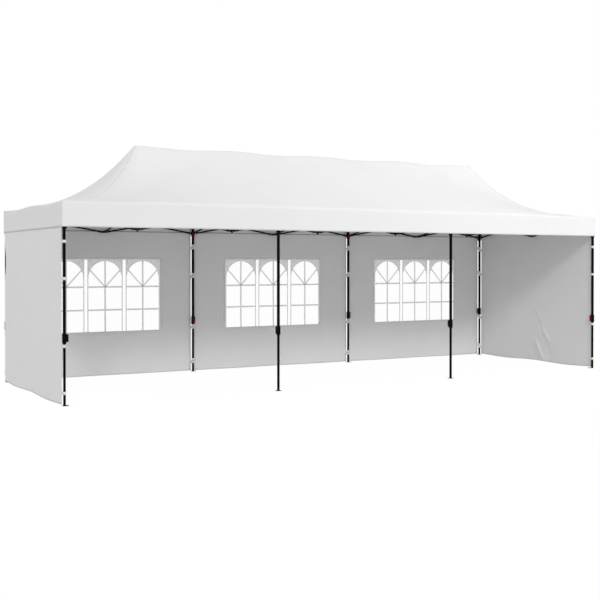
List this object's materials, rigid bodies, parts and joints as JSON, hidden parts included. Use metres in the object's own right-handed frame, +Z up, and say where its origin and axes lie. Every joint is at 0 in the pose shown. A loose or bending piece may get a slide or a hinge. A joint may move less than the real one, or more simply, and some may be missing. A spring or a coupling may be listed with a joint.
{
  "type": "folding marquee tent",
  "caption": "Long folding marquee on telescopic steel legs, with scissor trusses, a hipped canopy with a valance, a back of arched-window panels, closed ends and an open front.",
  "frame": {"origin": "centre of the plan, on the ground under the foot plates", "axes": "+Z up, +X along the long side towards the right end, -Y towards the open front"},
  "size_m": [8.8166, 2.8833, 3.34],
  "materials": {
    "tent_cloth": "white woven polyester with a matt coating",
    "clear_vinyl": "clear flexible sheet with a printed window pattern",
    "frame_paint": "black powder coat, satin"
  },
  "bodies": {
    "root": {"upper_leg_front_1": "frame_paint", "upper_leg_front_2": "frame_paint", "upper_leg_front_3": "frame_paint", "upper_leg_front_4": "frame_paint", "upper_leg_back_1": "frame_paint", "upper_leg_back_2": "frame_paint", "upper_leg_back_3": "frame_paint", "upper_leg_back_4": "frame_paint", "front_truss_left": "frame_paint", "front_truss_middle": "frame_paint", "front_truss_right": "frame_paint", "back_truss_left": "frame_paint", "back_truss_middle": "frame_paint", "back_truss_right": "frame_paint", "left_truss": "frame_paint", "right_truss": "frame_paint", "cross_truss_1": "frame_paint", "cross_truss_2": "frame_paint", "cross_truss_3": "frame_paint", "cross_truss_4": "frame_paint", "cross_truss_5": "frame_paint", "ridge_truss_1": "frame_paint", "ridge_truss_2": "frame_paint", "ridge_truss_3": "frame_paint", "ridge_truss_4": "frame_paint", "ridge_truss_5": "frame_paint", "ridge_truss_6": "frame_paint", "canopy_roof": "tent_cloth", "canopy_valance": "tent_cloth", "back_wall_left": "tent_cloth", "back_wall_middle": "tent_cloth", "back_wall_right": "tent_cloth", "left_end_wall": "tent_cloth", "right_end_wall": "tent_cloth", "window_film_left": "clear_vinyl", "window_film_middle": "clear_vinyl", "window_film_right": "clear_vinyl"},
    "leg_front_1": {"lower_leg_front_1": "frame_paint"},
    "leg_front_2": {"lower_leg_front_2": "frame_paint"},
    "leg_front_3": {"lower_leg_front_3": "frame_paint"},
    "leg_front_4": {"lower_leg_front_4": "frame_paint"},
    "leg_back_1": {"lower_leg_back_1": "frame_paint"},
    "leg_back_2": {"lower_leg_back_2": "frame_paint"},
    "leg_back_3": {"lower_leg_back_3": "frame_paint"},
    "leg_back_4": {"lower_leg_back_4": "frame_paint"}
  },
  "joints": [
    {"name": "slide_front_1", "type": "slide", "parent": "root", "child": "leg_front_1", "axis": [0, 0, 1], "range_m": [0, 0.12]},
    {"name": "slide_front_2", "type": "slide", "parent": "root", "child": "leg_front_2", "axis": [0, 0, 1], "range_m": [0, 0.12]},
    {"name": "slide_front_3", "type": "slide", "parent": "root", "child": "leg_front_3", "axis": [0, 0, 1], "range_m": [0, 0.12]},
    {"name": "slide_front_4", "type": "slide", "parent": "root", "child": "leg_front_4", "axis": [0, 0, 1], "range_m": [0, 0.12]},
    {"name": "slide_back_1", "type": "slide", "parent": "root", "child": "leg_back_1", "axis": [0, 0, 1], "range_m": [0, 0.12]},
    {"name": "slide_back_2", "type": "slide", "parent": "root", "child": "leg_back_2", "axis": [0, 0, 1], "range_m": [0, 0.12]},
    {"name": "slide_back_3", "type": "slide", "parent": "root", "child": "leg_back_3", "axis": [0, 0, 1], "range_m": [0, 0.12]},
    {"name": "slide_back_4", "type": "slide", "parent": "root", "child": "leg_back_4", "axis": [0, 0, 1], "range_m": [0, 0.12]}
  ]
}
